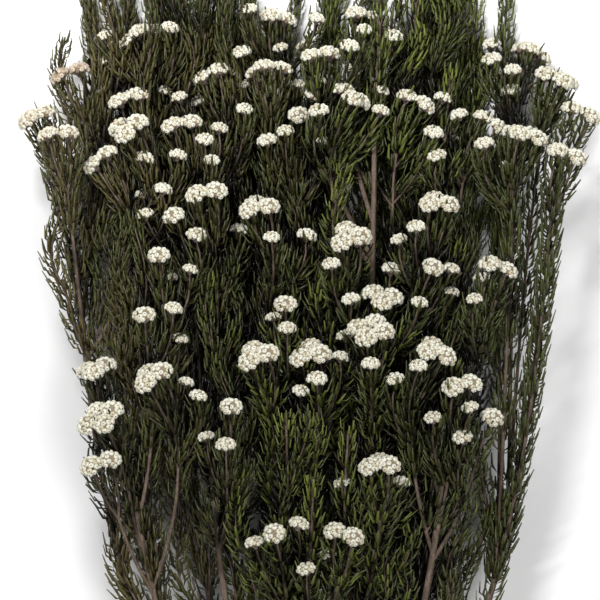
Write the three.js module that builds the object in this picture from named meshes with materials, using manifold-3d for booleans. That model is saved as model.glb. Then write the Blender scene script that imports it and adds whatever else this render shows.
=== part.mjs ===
// A preserved phylica stem, cut and lying on its side: one woody stem that forks into eleven branches.
// Each branch carries long leafy shoots, closely set with needle leaves, that end in small white flower heads.
// Millimetres. +Y runs along the stem from its cut end to its tips, +X across the crown, +Z up.

import * as THREE from 'three';
import Module from 'manifold-3d';

const wasm = await Module();
wasm.setup();

// Driving dimensions. Heights are measured along the stem, from the place where it starts to fork.
const STEM_BELOW_FORK = 62;
const STEM_RADIUS_CUT = 5.2;
const STEM_RADIUS_TOP = 2.8;
const MAIN_STEM_TOP = 46;
const CROWN_TOP = 440;
const SPREAD_HEIGHT = 156;
const CROWN_HALF_DEPTH = 46;
const CROWN_HALF_WIDTH = 122;
const LEAFY_FROM = 96;
const BRANCH_RADIUS_LOW = 2.7;
const BRANCH_RADIUS_HIGH = 2.0;
const BRANCH_SPREAD = 60;
const JOIN_GAP = 0.3;

// A shoot: a slim core that the leaves stand out of, in whorls that lie closer together towards its tip.
const SHOOT_RADIUS_FOOT = 0.7;
const SHOOT_RADIUS = 1.3;
const SHOOT_RADIUS_TIP = 0.9;
const WHORL_STEP_TIP = 26;
const WHORL_STEP_FOOT = 66;
const WHORL_GRADED_OVER = 170;
const LEAF_LENGTH = 8;
const LEAF_BASE = 2.2;
const LAST_WHORL_BELOW_HEAD = 11;
const BARE_ABOVE_FORK = 24;

// A cluster: one to five flower heads side by side, on shoots that fork from one twig below them.
const HEAD_RADIUS = 5.5;
const HEAD_HEIGHT = 5.6;
const HEAD_SPACING = 8.0;
const HEADS_FORK_BELOW = 24;
const FLORETS_ROUND = 5;
const TIP_BEND_LENGTH = 34;

// How the branches make room for each other.
const LEVEL_STEP = 10;
const ROOM_ROUNDS = 120;
const ROOM_GAP = 0.9;
const SURFACE_PRESS = 0.8;
const DRAW_SEED = 2;
const SLIVER = 0.03;

// Branches, each with its place across and in depth, the heights where it leaves the main stem, where its twigs
// fork from it and where its leaves begin, how far its leaves lean out in degrees, and its twigs.
// A twig is [across, depth, height of its heads, number of heads]. One without heads is a leafy leader.
const BRANCHES = [
  { across: -118, depth: -10, leaves: 0, forks: 250, leafyFrom: 284, lean: 22, twigs: [
    [-108, -20, 385, 2], [-120, -4, 364, 3], [-109, 10, 355, 2], [-95, 0, 345, 2], [-102, -46, 428, 0]] },
  { across: -100, depth: 14, leaves: 8, forks: 150, leafyFrom: 128, lean: 24, twigs: [
    [-95, 10, 250, 3], [-93, 20, 229, 4], [-90, 26, 209, 2], [-72, 16, 274, 1], [-69, 28, 248, 3]] },
  { across: -66, depth: -26, leaves: 12, forks: 196, leafyFrom: 120, lean: 20, twigs: [
    [-79, -38, 402, 4], [-78, -20, 373, 3], [-83, -4, 359, 3], [-58, -14, 361, 3]] },
  { across: -54, depth: 22, leaves: 20, forks: 170, leafyFrom: 130, lean: 24, twigs: [
    [-44, 8, 330, 2], [-59, 4, 319, 1], [-24, 6, 323, 3], [-67, 14, 301, 1], [-34, 38, 234, 1]] },
  { across: -22, depth: -30, leaves: 30, forks: 184, leafyFrom: 110, lean: 18, twigs: [
    [-41, -26, 383, 4], [-16, -24, 385, 4], [-9, -40, 411, 3], [-2, -32, 397, 1], [-4, -10, 365, 1],
    [-24, -46, 432, 0], [4, -46, 428, 0]] },
  { across: -12, depth: 30, leaves: 34, forks: 112, leafyFrom: 104, lean: 34, twigs: [
    [-10, 18, 279, 1], [-22, 30, 257, 3], [1, 26, 258, 3], [-14, 46, 179, 1], [13, 46, 179, 2],
    [-10, 42, 232, 0], [4, 44, 206, 0]] },
  { across: 33, depth: -14, leaves: 32, forks: 298, leafyFrom: 336, lean: 20, twigs: [
    [18, -38, 410, 3], [10, -28, 392, 3], [15, -14, 373, 3], [34, -22, 432, 0]] },
  { across: 32, depth: 28, leaves: 26, forks: 130, leafyFrom: 116, lean: 32, twigs: [
    [20, 10, 310, 3], [31, 14, 282, 3], [28, 24, 268, 4], [31, 42, 209, 3], [18, 38, 226, 0]] },
  { across: 62, depth: -30, leaves: 22, forks: 170, leafyFrom: 130, lean: 20, twigs: [
    [48, -16, 372, 2], [50, -36, 432, 0], [66, -40, 428, 0], [78, -46, 420, 0], [64, -22, 388, 0]] },
  { across: 76, depth: 22, leaves: 14, forks: 165, leafyFrom: 190, lean: 24, twigs: [
    [58, 6, 325, 3], [55, 16, 296, 1], [86, 10, 296, 2], [57, 28, 259, 3], [67, 30, 244, 2],
    [81, 24, 229, 1]] },
  { across: 120, depth: -8, leaves: 4, forks: 140, leafyFrom: 116, lean: 20, twigs: [
    [104, -30, 395, 3], [107, -16, 382, 4], [117, -2, 366, 2], [100, 2, 355, 4], [86, -12, 361, 2],
    [115, 12, 346, 2], [93, -46, 430, 0]] },
];

const BARK = new THREE.MeshStandardMaterial({ color: '#5b463a', roughness: 0.85, metalness: 0 });
const LEAF = new THREE.MeshStandardMaterial({ color: '#39442a', roughness: 0.6, metalness: 0 });
const FLOWER = new THREE.MeshStandardMaterial({ color: '#f3efdc', roughness: 0.8, metalness: 0 });

const clamp01 = (t) => Math.min(1, Math.max(0, t));
const mix = (a, b, t) => a + (b - a) * t;

// A repeatable draw between low and high: the same key always gives the same value.
function draw(key, low, high) {
  const wave = Math.sin(key * 12.9898 + DRAW_SEED * 78.233) * 43758.5453;
  return mix(low, high, wave - Math.floor(wave));
}

// How far over a side shoot is at a share of its way: it leaves at an angle, then turns upright.
const turnUpright = (t) => 1 - (1 - clamp01(t)) ** 2;

// The crown opens quickly above the fork and then rises almost straight.
const spread = (height) => Math.max(0, height) / Math.hypot(height, SPREAD_HEIGHT);

// The main stem tapers, and its underside lies on the surface up to the place where it starts to fork.
const stemShare = (height) => clamp01((height + STEM_BELOW_FORK) / (MAIN_STEM_TOP + STEM_BELOW_FORK));
const stemRadius = (height) => mix(STEM_RADIUS_CUT, STEM_RADIUS_TOP, stemShare(height));
const axisDepth = (height) => stemRadius(height) - SURFACE_PRESS + CROWN_HALF_DEPTH * spread(height);

// The centreline of a branch at a height, as [across, depth] from the crown's axis.
function branchAt(branch, height) {
  const away = spread(height) * turnUpright((height - branch.leaves) / BRANCH_SPREAD);
  return [branch.across * away, branch.depth * away];
}

// Every twig has its own route: it leaves its branch and bends over to its own place.
function planTwigs() {
  const twigs = [];
  BRANCHES.forEach((branch, b) => {
    branch.twigs.forEach(([across, depth, top, heads], c) => {
      const key = b * 10 + c;
      const outward = new THREE.Vector2(across / CROWN_HALF_WIDTH, 1.6 * depth / CROWN_HALF_DEPTH + 0.5);
      outward.normalize().rotateAround(new THREE.Vector2(), draw(key + 0.1, -0.5, 0.5));
      const lowest = Math.min(branch.forks, top - 60);
      twigs.push({
        key, branch, b, across, depth, top, heads,
        from: Math.max(lowest, Math.min(lowest + draw(key + 0.2, 0, 50), top - 90)),
        tilt: heads ? draw(key + 0.3, 0.15, 0.75) : 0.1,
        outward,
        turn: draw(key + 0.4, -0.6, 0.6),
        shift: Array.from({ length: CROWN_TOP / LEVEL_STEP + 2 }, () => [0, 0]),
      });
    });
  });
  return twigs;
}

// How far over a twig has come from its branch to its own place.
const share = (twig, height) => turnUpright((height - twig.from) / (0.7 * (twig.top - twig.from)));

// The centreline of a twig at a height, as [across, depth] from the crown's axis.
function twigAt(twig, height) {
  const [bx, bz] = branchAt(twig.branch, height);
  const level = Math.min(height / LEVEL_STEP, twig.shift.length - 1.001);
  const low = Math.floor(level);
  const bent = twig.tilt * TIP_BEND_LENGTH / 2
    * (Math.max(0, (height - twig.top + TIP_BEND_LENGTH) / TIP_BEND_LENGTH) ** 2 - 1);
  const open = spread(height) / spread(twig.top);
  const own = [0, 1].map((i) => [twig.across, twig.depth][i] * open
    + (i ? twig.outward.y : twig.outward.x) * bent
    + mix(twig.shift[low][i], twig.shift[low + 1][i], level - low));
  const t = share(twig, height);
  return [mix(bx, own[0], t), mix(bz, own[1], t)];
}

// How far a cluster's heads stand from the middle of the cluster.
const clusterRadius = (heads) => (heads > 1 ? HEAD_SPACING / 2 / Math.sin(Math.PI / heads) : 0);

// How far the shoots of a twig have parted from each other at a height.
const parted = (twig, height) => (
  turnUpright((height - twig.top + HEADS_FORK_BELOW) / (0.8 * HEADS_FORK_BELOW)));

const leafReach = (lean) => 0.7 + LEAF_LENGTH * Math.sin(THREE.MathUtils.degToRad(lean));

// The radius that a twig and its shoots fill at a height.
function reachOf(twig, height) {
  const apart = clusterRadius(twig.heads) * parted(twig, height);
  const besideHeads = twig.heads && twig.top - height < 1.5 * LEVEL_STEP;
  return apart + (besideHeads ? HEAD_RADIUS + 0.4 : leafReach(twig.branch.lean));
}

const nearHeads = (twig, height) => twig.heads > 0 && Math.abs(twig.top - height) < 1.6 * LEVEL_STEP;
const standsAt = (twig, height) => height >= twig.from && height <= twig.top + LEVEL_STEP;

// Twigs keep clear of each other all the way up, all the more once they have parted from a shared branch.
// Each round pushes what is too close apart, lifts what is under the surface, and smooths the routes.
function makeRoom(twigs) {
  const levels = twigs[0].shift.length;
  for (let round = 0; round < ROOM_ROUNDS; round++) {
    for (let level = Math.floor(LEAFY_FROM / LEVEL_STEP); level < levels; level++) {
      const height = level * LEVEL_STEP;
      const here = twigs.filter((twig) => standsAt(twig, height)).map((twig) => (
        { twig, at: twigAt(twig, height), reach: reachOf(twig, height) }));
      here.forEach((one, i) => {
        here.slice(i + 1).forEach((other) => {
          const dx = other.at[0] - one.at[0];
          const dz = other.at[1] - one.at[1];
          const apart = Math.hypot(dx, dz) + 1e-6;
          const sameBranch = one.twig.b === other.twig.b;
          const besideHeads = nearHeads(one.twig, height) || nearHeads(other.twig, height);
          const room = sameBranch && !besideHeads ? share(one.twig, height) * share(other.twig, height) : 1;
          const lack = (one.reach + other.reach + ROOM_GAP) * room - apart;
          if (lack <= 0) return;
          [[one, -1], [other, 1]].forEach(([{ twig }, way]) => {
            const push = way * 0.5 * lack / apart / Math.max(0.35, share(twig, height));
            twig.shift[level][0] += push * dx;
            twig.shift[level][1] += push * dz;
          });
        });
        const under = one.reach - SURFACE_PRESS - (axisDepth(height) + one.at[1]);
        if (under > 0) one.twig.shift[level][1] += 0.6 * under;
      });
    }
    twigs.forEach(({ shift }) => {
      const old = shift.map((s) => [...s]);
      for (let level = 0; level < levels; level++) {
        const below = old[Math.max(level - 1, 0)];
        const above = old[Math.min(level + 1, levels - 1)];
        [0, 1].forEach((i) => {
          shift[level][i] = 0.6 * old[level][i] + 0.2 * (below[i] + above[i]);
        });
      }
    });
  }
}

const inSpace = ([across, depth], height) => new THREE.Vector3(across, height, axisDepth(height) + depth);

// A point, the direction of travel and two directions across it, anywhere on a route.
function frameOn(route, height, step = 1) {
  const point = route(height);
  const along = route(height + step).sub(route(height - step)).normalize();
  const side = new THREE.Vector3(1, 0, 0).addScaledVector(along, -along.x).normalize();
  return { point, along, side, up: side.clone().cross(along) };
}

const corner = (frame, radius, angle) => frame.point.clone()
  .addScaledVector(frame.side, radius * Math.cos(angle))
  .addScaledVector(frame.up, radius * Math.sin(angle));

// A closed skin from its corners and faces, turned inside out where the faces run the other way round.
function solid(corners, faces) {
  const skin = (order) => new wasm.Manifold(new wasm.Mesh({
    numProp: 3,
    vertProperties: new Float32Array(corners.flatMap((v) => [v.x, v.y, v.z])),
    triVerts: new Uint32Array(order.flat()),
  }));
  const made = skin(faces);
  return made.volume() > 0 ? made : skin(faces.map(([a, b, c]) => [a, c, b]));
}

// Solids joined into one. The small hollows shut in where leaves cross are filled, and slivers are closed up.
function joined(solids) {
  const skins = wasm.Manifold.union(solids).decompose();
  return wasm.Manifold.compose(skins.filter((skin) => skin.volume() > 0)).simplify(SLIVER);
}

// A closed tube through rings of corners. Each face between a ring with tips and the next ring is halved. The
// lower half is drawn out to a point, and the upper half too where it has a tip: so a leaf stands on a shoot.
function tube(rings) {
  const corners = [];
  const faces = [];
  const put = (v) => corners.push(v) - 1;
  const sides = rings[0].corners.length;
  const index = rings.map((ring) => ring.corners.map(put));
  rings.slice(0, -1).forEach((ring, r) => {
    for (let s = 0; s < sides; s++) {
      const n = (s + 1) % sides;
      const [a, b, c, d] = [index[r][s], index[r][n], index[r + 1][n], index[r + 1][s]];
      if (ring.tips) {
        const [low, high] = ring.tips[s].map(put);
        faces.push([a, b, low], [b, c, low], [c, a, low]);
        if (high) faces.push([a, c, high], [c, d, high], [d, a, high]);
        else faces.push([a, c, d]);
      } else faces.push([a, b, c], [a, c, d]);
    }
  });
  const [low, high] = [index[0], index[index.length - 1]];
  for (let s = 1; s < sides - 1; s++) {
    faces.push([low[0], low[s + 1], low[s]], [high[0], high[s], high[s + 1]]);
  }
  return solid(corners, faces);
}

// A plain round length of wood, tapering from one radius to the other.
function woodAlong(route, from, to, radiusFrom, radiusTo, sides, step) {
  const count = Math.max(2, Math.round((to - from) / step));
  const rings = Array.from({ length: count + 1 }, (_, i) => {
    const frame = frameOn(route, mix(from, to, i / count));
    const radius = mix(radiusFrom, radiusTo, i / count);
    const corners = Array.from({ length: sides }, (_c, s) => corner(frame, radius, 2 * Math.PI * s / sides));
    return { corners };
  });
  return tube(rings);
}

// The heights of the whorls on a shoot, from its last whorl down to where its leaves begin.
function whorlHeights(from, last, key) {
  const heights = [];
  for (let height = last; height > from || height === last; ) {
    heights.unshift(height);
    const grade = clamp01((last - height) / WHORL_GRADED_OVER);
    height -= mix(WHORL_STEP_TIP, WHORL_STEP_FOOT, grade) * draw(key + heights.length, 1 - grade, 1 + grade);
  }
  return heights;
}

// A leafy length of shoot: a three-sided core with whorls of needle leaves, one or two to each side. The core
// turns a little from each whorl to the next.
function shootAlong({ route, from, to, radii, whorls, leavesPerSide, lean, bends, key }) {
  const turn = 2 * Math.PI / 3;
  const angleAt = (height) => key + whorls.filter((whorl) => whorl < height).length * turn / 4;
  const ringAt = (height, angle = angleAt(height)) => {
    const frame = frameOn(route, height);
    const radius = height === from ? radii[0] : mix(radii[1], radii[2], (height - from) / (to - from));
    const corners = [0, 1, 2].map((s) => corner(frame, radius, angle + s * turn));
    return { corners, frame, radius, height };
  };
  const rings = [from, to, ...bends].map((height) => ringAt(height));
  whorls.forEach((height, w) => {
    const angle = angleAt(height);
    const whorl = ringAt(height, angle);
    const leafTip = (s, part, base) => {
      const length = LEAF_LENGTH * draw(key + w + s / 5 + part, 0.9, 1.1);
      const out = THREE.MathUtils.degToRad(lean * draw(key + w + s / 7 + part, 0.8, 1.2));
      return corner(whorl.frame, whorl.radius / 2 + length * Math.sin(out), angle + (s + part) * turn)
        .addScaledVector(whorl.frame.along, base * LEAF_BASE + length * Math.cos(out));
    };
    whorl.tips = [0, 1, 2].map((s) => [leafTip(s, 0.75, 0.33), leafTip(s, 0.25, 0.67)].slice(0, leavesPerSide));
    rings.push(whorl, ringAt(height + LEAF_BASE, angle));
  });
  return tube(rings.sort((one, other) => one.height - other.height));
}

// The middle, direction and head places of a cluster, at the top of its twig.
function clusterOf(twig) {
  const route = (height) => inSpace(twigAt(twig, height), height);
  const { point: middle, along, side, up } = frameOn(route, twig.top);
  const count = Math.max(1, twig.heads);
  const seats = Array.from({ length: count }, (_, i) => {
    const angle = twig.turn + 2 * Math.PI * i / count;
    const radial = side.clone().multiplyScalar(Math.cos(angle)).addScaledVector(up, Math.sin(angle));
    const offset = radial.clone().multiplyScalar(clusterRadius(count));
    const lift = count > 1 ? draw(twig.key + i / 3, -0.8, 0.8) : 0;
    return {
      offset: offset.addScaledVector(along, lift),
      direction: along.clone().addScaledVector(radial, count > 1 ? 0.1 : 0).normalize(),
      turned: angle + (count === 2 ? Math.PI / 6 : 0),
    };
  });
  return { middle, along, seats };
}

// The route of one shoot of a twig: with the twig at first, then out to its own place at the top.
const shootRoute = (twig, seat) => (height) => (
  inSpace(twigAt(twig, height), height).addScaledVector(seat.offset, parted(twig, height)));

// A flower head: a dome of florets round its middle, each drawn out to a point, on a cone of bracts.
function headAt(base, direction, turned, key) {
  const frame = frameOn((t) => base.clone().addScaledVector(direction, t), 0);
  const size = draw(key + 0.7, 0.97, 1.06);
  const at = (radius, height, angle) => corner(frame, radius * size, angle)
    .addScaledVector(direction, height * size);
  const corners = [at(0, 0, 0), at(0, HEAD_HEIGHT, 0)];
  const faces = [];
  const step = 2 * Math.PI / FLORETS_ROUND;
  for (let i = 0; i < FLORETS_ROUND; i++) {
    corners.push(at(0.94 * HEAD_RADIUS, 0.4 * HEAD_HEIGHT, turned + i * step));
  }
  for (let i = 0; i < FLORETS_ROUND; i++) {
    const [foot, crown, rim, next] = [0, 1, 2 + i, 2 + (i + 1) % FLORETS_ROUND];
    const tip = corners.push(at(0.8 * HEAD_RADIUS, 0.86 * HEAD_HEIGHT, turned + (i + 0.5) * step)) - 1;
    faces.push([foot, next, rim], [rim, next, tip], [next, crown, tip], [crown, rim, tip]);
  }
  return solid(corners, faces);
}

function meshOf(name, made, material) {
  const { vertProperties, triVerts } = made.getMesh();
  const geometry = new THREE.BufferGeometry();
  geometry.setAttribute('position', new THREE.BufferAttribute(vertProperties, 3));
  geometry.setIndex(new THREE.BufferAttribute(triVerts, 1));
  geometry.computeVertexNormals();
  const mesh = new THREE.Mesh(geometry, material);
  mesh.name = name;
  return mesh;
}

const numbered = (name, i) => `${name}_${String(i).padStart(2, '0')}`;

// Whatever dips below the surface that the stem lies on is pressed flat there.
const onSurface = (made) => made.trimByPlane([0, 0, 1], 0);

function woodyStem() {
  const mainRoute = (height) => inSpace([0, 0], height);
  const main = woodAlong(mainRoute, -STEM_BELOW_FORK, MAIN_STEM_TOP, STEM_RADIUS_CUT, STEM_RADIUS_TOP, 9, 20);
  const branches = BRANCHES.map((branch) => {
    const route = (height) => inSpace(branchAt(branch, height), height);
    return woodAlong(route, branch.leaves - 6, LEAFY_FROM, BRANCH_RADIUS_LOW, BRANCH_RADIUS_HIGH, 6, 24);
  });
  return joined([main, ...branches]);
}

function leafyBranch(branch, b, twigs) {
  const own = twigs.filter((twig) => twig.b === b);
  const route = (height) => inSpace(branchAt(branch, height), height);
  const pieces = [shootAlong({
    route,
    from: LEAFY_FROM + JOIN_GAP * frameOn(route, LEAFY_FROM).along.y,
    to: Math.max(...own.map((twig) => twig.from)) + 4,
    radii: [BRANCH_RADIUS_HIGH, BRANCH_RADIUS_HIGH, SHOOT_RADIUS],
    whorls: whorlHeights(branch.leafyFrom, branch.forks - 6, b + 0.5),
    leavesPerSide: 2,
    lean: branch.lean,
    bends: own.map((twig) => twig.from),
    key: b,
  })];
  own.forEach((twig) => {
    const { along, seats } = clusterOf(twig);
    const fork = twig.top - HEADS_FORK_BELOW;
    const to = twig.top - JOIN_GAP * along.y;
    seats.forEach((seat, i) => {
      const from = i === 0 ? twig.from : fork;
      const lastWhorl = to - (twig.heads ? LAST_WHORL_BELOW_HEAD : LEAF_BASE + 0.5);
      pieces.push(shootAlong({
        route: shootRoute(twig, seat),
        from,
        to,
        radii: [SHOOT_RADIUS_FOOT, SHOOT_RADIUS, SHOOT_RADIUS_TIP],
        whorls: whorlHeights(Math.max(branch.leafyFrom, from + BARE_ABOVE_FORK), lastWhorl, twig.key),
        leavesPerSide: i === 0 ? 2 : 1,
        lean: branch.lean,
        bends: i === 0 && seats.length > 1 ? [fork] : [],
        key: twig.key + i / 6,
      }));
    });
  });
  return joined(pieces);
}

function flowerCluster(twig) {
  const { middle, seats } = clusterOf(twig);
  return joined(seats.map((seat, i) => (
    headAt(middle.clone().add(seat.offset), seat.direction, seat.turned, twig.key + i))));
}

const twigs = planTwigs();
makeRoom(twigs);

const stem = new THREE.Group();
stem.add(meshOf('woody_stem', onSurface(woodyStem()), BARK));
BRANCHES.forEach((branch, b) => {
  stem.add(meshOf(numbered('leafy_branch', b + 1), onSurface(leafyBranch(branch, b, twigs)), LEAF));
});
twigs.filter((twig) => twig.heads).forEach((twig, i) => {
  stem.add(meshOf(numbered('flower_cluster', i + 1), onSurface(flowerCluster(twig)), FLOWER));
});

// The origin is the middle of the underside.
const box = new THREE.Box3().setFromObject(stem);
stem.position.set(-(box.min.x + box.max.x) / 2, -(box.min.y + box.max.y) / 2, 0);

export default stem;
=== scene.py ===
import math

import bpy
import numpy as np
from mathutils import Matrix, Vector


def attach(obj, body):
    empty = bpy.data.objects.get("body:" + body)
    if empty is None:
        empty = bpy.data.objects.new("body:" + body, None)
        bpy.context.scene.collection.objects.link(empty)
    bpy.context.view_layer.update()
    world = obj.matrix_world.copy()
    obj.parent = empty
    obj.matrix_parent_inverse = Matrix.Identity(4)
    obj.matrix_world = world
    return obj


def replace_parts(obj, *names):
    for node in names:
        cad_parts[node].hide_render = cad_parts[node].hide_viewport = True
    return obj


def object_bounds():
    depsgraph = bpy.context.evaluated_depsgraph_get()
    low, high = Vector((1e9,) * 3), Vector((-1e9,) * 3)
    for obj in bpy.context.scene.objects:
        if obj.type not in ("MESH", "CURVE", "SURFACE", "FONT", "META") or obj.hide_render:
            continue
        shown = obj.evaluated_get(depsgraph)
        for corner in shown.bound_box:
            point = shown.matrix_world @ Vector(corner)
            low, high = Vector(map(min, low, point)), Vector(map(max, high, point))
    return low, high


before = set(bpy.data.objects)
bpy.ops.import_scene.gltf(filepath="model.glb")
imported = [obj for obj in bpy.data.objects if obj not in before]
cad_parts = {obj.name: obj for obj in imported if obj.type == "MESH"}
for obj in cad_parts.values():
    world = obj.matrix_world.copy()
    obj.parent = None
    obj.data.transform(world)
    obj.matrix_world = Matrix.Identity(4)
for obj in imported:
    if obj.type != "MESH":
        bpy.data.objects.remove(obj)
cad_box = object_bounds()
collection = bpy.context.scene.collection


# Woody stem: the thick lower stem of the plant, cut straight across at its foot. It forks low down into
# eleven branches, which part quickly and then run almost straight up. It is one piece of grey-brown wood,
# ridged lengthwise and ringed by old leaf scars, and its underside lies flat on the surface.
# Lengths are in millimetres until a mesh is made, and heights are measured from where the stem forks.
MM = 0.001
ORIGIN_ACROSS = 0.51
ORIGIN_HEIGHT = 188.19
STEM_BELOW_FORK = 62
STEM_RADIUS_CUT = 5.2
STEM_RADIUS_TOP = 2.8
MAIN_STEM_TOP = 46
SPREAD_HEIGHT = 156
CROWN_HALF_DEPTH = 46
CROWN_HALF_WIDTH = 122
LEAFY_FROM = 96
BRANCH_RADIUS_LOW = 2.7
BRANCH_RADIUS_HIGH = 2.0
BRANCH_SPREAD = 60
BRANCH_SUNK_IN = 6
KNOT_EVERY = 16
KNOT_SWELL = 0.12
SURFACE_PRESS = 0.8
JOIN_GAP = 0.3
WOOD_SIDES = 14
WOOD_STEP = 4
WOOD_VOXEL = 0.8
RIDGE_HEIGHT = 0.5
SWELLING = 0.8
CUT_FACE_WITHIN = 0.6
CUT_FACE_TURN = -0.7
DRAW_SEED = 2

# Each branch: its place across and in depth, where it leaves the main stem, where its twigs fork from it,
# where its leaves begin, how far they lean out in degrees, how green they are, and its twigs as
# [across, depth, height of the heads, number of heads]. A twig without heads is a leafy leader. Some
# branches keep their side shoots tight, and one has stout twigs.
BRANCHES = [
    dict(across=-118, depth=-10, leaves=0, forks=250, leafy_from=284, lean=22, green=0.10, twigs=[
        [-108, -20, 385, 2], [-120, -4, 364, 3], [-109, 10, 355, 2], [-95, 0, 345, 2],
        [-102, -46, 428, 0]]),
    dict(across=-100, depth=14, leaves=8, forks=150, leafy_from=186, lean=24, green=0.30, tight=0.6, twigs=[
        [-95, 10, 250, 3], [-93, 20, 229, 4], [-90, 26, 209, 2], [-72, 16, 274, 1], [-69, 28, 248, 3]]),
    dict(across=-66, depth=-26, leaves=12, forks=196, leafy_from=188, lean=20, green=0.25, twigs=[
        [-79, -38, 402, 4], [-78, -20, 373, 3], [-83, -4, 359, 3], [-58, -14, 361, 3]]),
    dict(across=-54, depth=22, leaves=20, forks=170, leafy_from=184, lean=24, green=0.35, twigs=[
        [-44, 8, 330, 2], [-59, 4, 319, 1], [-24, 6, 323, 3], [-67, 14, 301, 1], [-34, 38, 234, 1]]),
    dict(across=-22, depth=-30, leaves=30, forks=184, leafy_from=110, lean=18, green=0.30, twigs=[
        [-41, -26, 383, 4], [-16, -24, 385, 4], [-9, -40, 411, 3], [-2, -32, 397, 1], [-4, -10, 365, 1],
        [-24, -46, 432, 0], [4, -46, 428, 0]]),
    dict(across=-12, depth=30, leaves=34, forks=112, leafy_from=104, lean=34, green=0.80, twigs=[
        [-10, 18, 279, 1], [-22, 30, 257, 3], [1, 26, 258, 3], [-14, 46, 179, 1], [13, 46, 179, 2],
        [-10, 42, 232, 0], [4, 44, 206, 0]]),
    dict(across=33, depth=-14, leaves=32, forks=298, leafy_from=336, lean=20, green=0.62, stout=1.35,
         twigs=[
            [18, -38, 410, 3], [10, -28, 392, 3], [15, -14, 373, 3], [34, -22, 432, 0]]),
    dict(across=32, depth=28, leaves=26, forks=130, leafy_from=116, lean=32, green=0.70, twigs=[
        [20, 10, 310, 3], [31, 14, 282, 3], [28, 24, 268, 4], [31, 42, 209, 3], [18, 38, 226, 0]]),
    dict(across=62, depth=-30, leaves=22, forks=170, leafy_from=130, lean=20, green=0.62, twigs=[
        [48, -16, 372, 2], [50, -36, 432, 0], [66, -40, 428, 0], [78, -46, 420, 0], [64, -22, 388, 0]]),
    dict(across=76, depth=22, leaves=14, forks=165, leafy_from=190, lean=24, green=0.50, twigs=[
        [58, 6, 325, 3], [55, 16, 296, 1], [86, 10, 296, 2], [57, 28, 259, 3], [67, 30, 244, 2],
        [81, 24, 229, 1]]),
    dict(across=120, depth=-8, leaves=4, forks=140, leafy_from=116, lean=20, green=0.45, tight=0.45, twigs=[
        [104, -30, 395, 3], [107, -16, 382, 4], [117, -2, 366, 2], [100, 2, 355, 4], [86, -12, 361, 2],
        [115, 12, 346, 2], [93, -46, 430, 0]]),
]


def clamp01(t):
    return min(1.0, max(0.0, t))


def mix(a, b, t):
    return a + (b - a) * t


def draw(key, low, high):
    """A repeatable draw: the same key always gives the same value."""
    wave = math.sin(key * 12.9898 + DRAW_SEED * 78.233) * 43758.5453
    return mix(low, high, wave - math.floor(wave))


def turn_upright(t):
    """How far out a shoot has come, which leaves at an angle and ends up upright."""
    return 1 - (1 - clamp01(t)) ** 2


def spread(height):
    """How far the crown has spread at a height, as a share of its full width."""
    return max(0, height) / math.hypot(height, SPREAD_HEIGHT)


def stem_radius(height):
    share_up = clamp01((height + STEM_BELOW_FORK) / (MAIN_STEM_TOP + STEM_BELOW_FORK))
    return mix(STEM_RADIUS_CUT, STEM_RADIUS_TOP, share_up)


def axis_depth(height):
    return stem_radius(height) - SURFACE_PRESS + CROWN_HALF_DEPTH * spread(height)


def branch_at(branch, height):
    away = spread(height) * turn_upright((height - branch["leaves"]) / BRANCH_SPREAD)
    return np.array([branch["across"], branch["depth"]]) * away


def in_space(place, height):
    return np.array([place[0] - ORIGIN_ACROSS, height - ORIGIN_HEIGHT, axis_depth(height) + place[1]])


def frame_on(route, height):
    """The point, the direction of travel and two directions across it, anywhere on a route."""
    along = route(height + 1) - route(height - 1)
    along /= np.linalg.norm(along)
    side = np.array([1.0, 0, 0]) - along * along[0]
    side /= np.linalg.norm(side)
    return route(height), along, side, np.cross(side, along)


def wood_tube(route, start, end, radius_at):
    """Corners and faces of a closed round length of wood along a route."""
    count = max(2, round((end - start) / WOOD_STEP))
    points, faces = [], []
    for i in range(count + 1):
        height = mix(start, end, i / count)
        point, _, side, up = frame_on(route, height)
        for s in range(WOOD_SIDES):
            angle = 2 * math.pi * s / WOOD_SIDES
            points.append(point + radius_at(height) * (math.cos(angle) * side + math.sin(angle) * up))
    for i in range(count):
        for s in range(WOOD_SIDES):
            n = (s + 1) % WOOD_SIDES
            low, high = i * WOOD_SIDES, (i + 1) * WOOD_SIDES
            faces.append([low + s, high + s, high + n, low + n])
    last = count * WOOD_SIDES
    faces.append(list(range(WOOD_SIDES)))
    faces.append([last + s for s in reversed(range(WOOD_SIDES))])
    return points, faces


def linked(name, data):
    """A new object in the scene, at the origin."""
    made = bpy.data.objects.new(name, data)
    collection.objects.link(made)
    return made


def mesh_object(name, points, faces, edges=()):
    mesh = bpy.data.meshes.new(name)
    mesh.from_pydata([tuple(MM * p for p in point) for point in points], list(edges), faces)
    return linked(name, mesh)


def joined_object(name, parts):
    points, faces = [], []
    for part_points, part_faces in parts:
        faces += [[len(points) + v for v in face] for face in part_faces]
        points += part_points
    return mesh_object(name, points, faces)


def store(made, name, values, kind="FLOAT"):
    """Stores a number or a vector on each point of an object."""
    field = "vector" if kind == "FLOAT_VECTOR" else "value"
    attribute = made.data.attributes.new(name, kind, "POINT")
    attribute.data.foreach_set(field, np.array(values, dtype=np.float32).ravel())


def give(tree, socket, value):
    """Sets a socket to a value, or links another node's output to it."""
    if isinstance(value, bpy.types.NodeSocket):
        tree.links.new(value, socket)
    elif isinstance(value, tuple) and len(value) < len(socket.default_value):
        socket.default_value = (*value, 1)
    else:
        socket.default_value = value


def add(tree, kind, inputs=None, **settings):
    """A node with its settings and its inputs, each a value or another node's output."""
    node = tree.nodes.new(kind)
    for name, value in settings.items():
        setattr(node, name, value)
    for name, value in (inputs or {}).items():
        give(tree, node.inputs[name], value)
    return node


def result(tree, kind, inputs=None, **settings):
    """The first output of a new node."""
    return add(tree, kind, inputs, **settings).outputs[0]


def maths(tree, operation, *values):
    return result(tree, "ShaderNodeMath", dict(enumerate(values)), operation=operation)


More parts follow.
